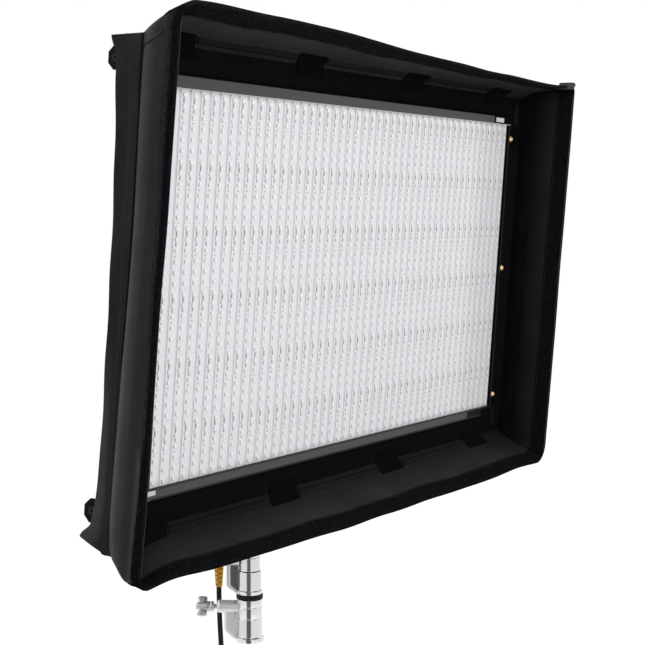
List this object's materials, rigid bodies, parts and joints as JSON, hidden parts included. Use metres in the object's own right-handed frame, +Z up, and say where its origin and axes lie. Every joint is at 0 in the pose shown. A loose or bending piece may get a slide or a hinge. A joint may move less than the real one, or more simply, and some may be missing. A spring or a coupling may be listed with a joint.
{
  "type": "led softbox panel",
  "caption": "Wide rectangular LED panel inside a shallow flared fabric hood, tilting on a rear yoke that pans on clamped light-stand collars, with a power supply and a short power lead.",
  "frame": {"origin": "centre of the riser's flat lower end, flush with the underside of the lower collar, on the stand axis", "axes": "+Z up along the stand, the beam leaves towards -Y, +X to the right of the panel seen from its front"},
  "size_m": [1.4105, 0.5252, 1.3778],
  "materials": {
    "cast_aluminium": "polished casting",
    "dark_steel": "dark satin",
    "rubber_black": "matte",
    "yoke_black": "satin black paint",
    "frame_black": "black anodised",
    "channel_grey": "satin",
    "board_white": "white board",
    "panel_aluminium": "mill finish",
    "cloth_black": "black nylon",
    "loop_black": "fuzzy loop tape",
    "plastic_black": "satin black",
    "boot_yellow": "matte yellow"
  },
  "bodies": {
    "stand": {"lower_collar": "cast_aluminium", "collar_ring": "rubber_black", "upper_collar": "cast_aluminium", "riser": "dark_steel"},
    "lower_handle": {"lower_handle": "cast_aluminium"},
    "upper_handle": {"upper_handle": "cast_aluminium"},
    "yoke": {"spigot": "dark_steel", "yoke_base": "yoke_black", "yoke_arm_left": "yoke_black", "yoke_arm_right": "yoke_black", "tilt_bolt_left": "dark_steel", "tilt_bolt_right": "dark_steel", "supply_case": "plastic_black", "supply_bracket": "dark_steel", "supply_inlet": "plastic_black", "cord_plug": "plastic_black", "cord_boot": "boot_yellow", "power_cord": "rubber_black", "cord_coupler": "plastic_black", "supply_socket": "dark_steel"},
    "tilt_lever": {"tilt_lever": "plastic_black"},
    "dimmer_knob": {"dimmer_knob": "plastic_black"},
    "head": {"head_socket": "dark_steel", "tilt_ear_left": "yoke_black", "tilt_ear_right": "yoke_black", "rail_top": "frame_black", "rail_bottom": "frame_black", "rail_left": "frame_black", "rail_right": "frame_black", "edge_left": "frame_black", "edge_right": "frame_black", "rear_crossbar": "frame_black", "lug_top_left": "frame_black", "lug_top_right": "frame_black", "lug_bottom_left": "frame_black", "lug_bottom_right": "frame_black", "channel_top": "channel_grey", "channel_bottom": "channel_grey", "led_board": "board_white", "back_panel": "panel_aluminium", "skirt": "cloth_black", "wall_top": "cloth_black", "wall_bottom": "cloth_black", "wall_left": "cloth_black", "wall_right": "cloth_black", "loop_band_top": "loop_black", "loop_band_bottom": "loop_black", "loop_band_left": "loop_black", "loop_band_right": "loop_black", "hook_tab_top_1": "loop_black", "hook_tab_top_2": "loop_black", "hook_tab_top_3": "loop_black", "hook_tab_top_4": "loop_black", "hook_tab_bottom_1": "loop_black", "hook_tab_bottom_2": "loop_black", "hook_tab_bottom_3": "loop_black", "hook_tab_bottom_4": "loop_black"}
  },
  "joints": [
    {"name": "pan", "type": "hinge", "parent": "stand", "child": "yoke", "pos_m": [0, 0, 0.2], "axis": [0, 0, 1], "range_deg": [-150, 150]},
    {"name": "tilt", "type": "hinge", "parent": "yoke", "child": "head", "pos_m": [0, -0.1303, 0.70706], "axis": [1, 0, 0], "range_deg": [-85, 15]},
    {"name": "lower_handle_turn", "type": "hinge", "parent": "stand", "child": "lower_handle", "pos_m": [0, 0, 0.0658], "axis": [-0.5258, 0.8506, 0], "range_deg": [0, 360]},
    {"name": "upper_handle_turn", "type": "hinge", "parent": "stand", "child": "upper_handle", "pos_m": [0, 0, 0.1552], "axis": [-0.5258, 0.8506, 0], "range_deg": [0, 360]},
    {"name": "tilt_lever_turn", "type": "hinge", "parent": "yoke", "child": "tilt_lever", "pos_m": [0, -0.1303, 0.70706], "axis": [1, 0, 0], "range_deg": [0, 100]},
    {"name": "dimmer_turn", "type": "hinge", "parent": "yoke", "child": "dimmer_knob", "pos_m": [0.05, 0.1443, 0.332], "axis": [0, 1, 0], "range_deg": [0, 270]}
  ]
}
